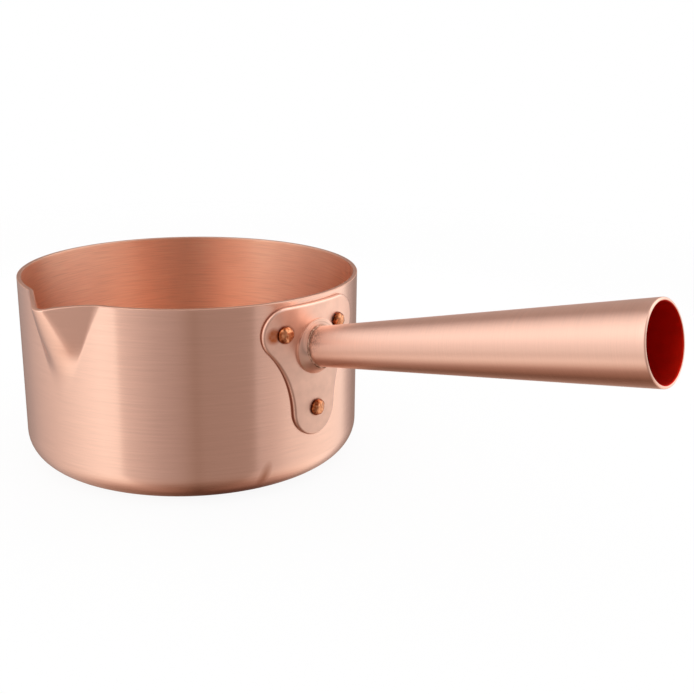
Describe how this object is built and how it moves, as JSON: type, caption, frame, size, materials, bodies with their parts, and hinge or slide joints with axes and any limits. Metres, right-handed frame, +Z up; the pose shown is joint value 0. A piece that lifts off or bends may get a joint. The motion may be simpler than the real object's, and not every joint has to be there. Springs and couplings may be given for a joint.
{
  "type": "pouring saucepan",
  "caption": "Copper saucepan with straight round sides, a pinched pouring spout and a hollow tapered copper handle riveted on by a three-lobed plate.",
  "frame": {"origin": "centre of the flat underside, on the pan's own axis", "axes": "+Z up, +X along the handle away from the pan, -Y to the side with the pouring spout"},
  "size_m": [0.3306, 0.1749, 0.1166],
  "materials": {
    "pan_copper": "brushed round the wall",
    "plate_copper": "satin",
    "collar_copper": "turned",
    "handle_copper": "brushed round the tube",
    "braze_metal": "dull",
    "rivet_copper": "hammered, heat-darkened"
  },
  "bodies": {
    "root": {"pan_body": "pan_copper", "handle_plate": "plate_copper", "handle_collar": "collar_copper", "handle_tube": "handle_copper", "neck_braze": "braze_metal", "rivet_upper_left": "rivet_copper", "rivet_upper_right": "rivet_copper", "rivet_lower": "rivet_copper"}
  },
  "joints": []
}
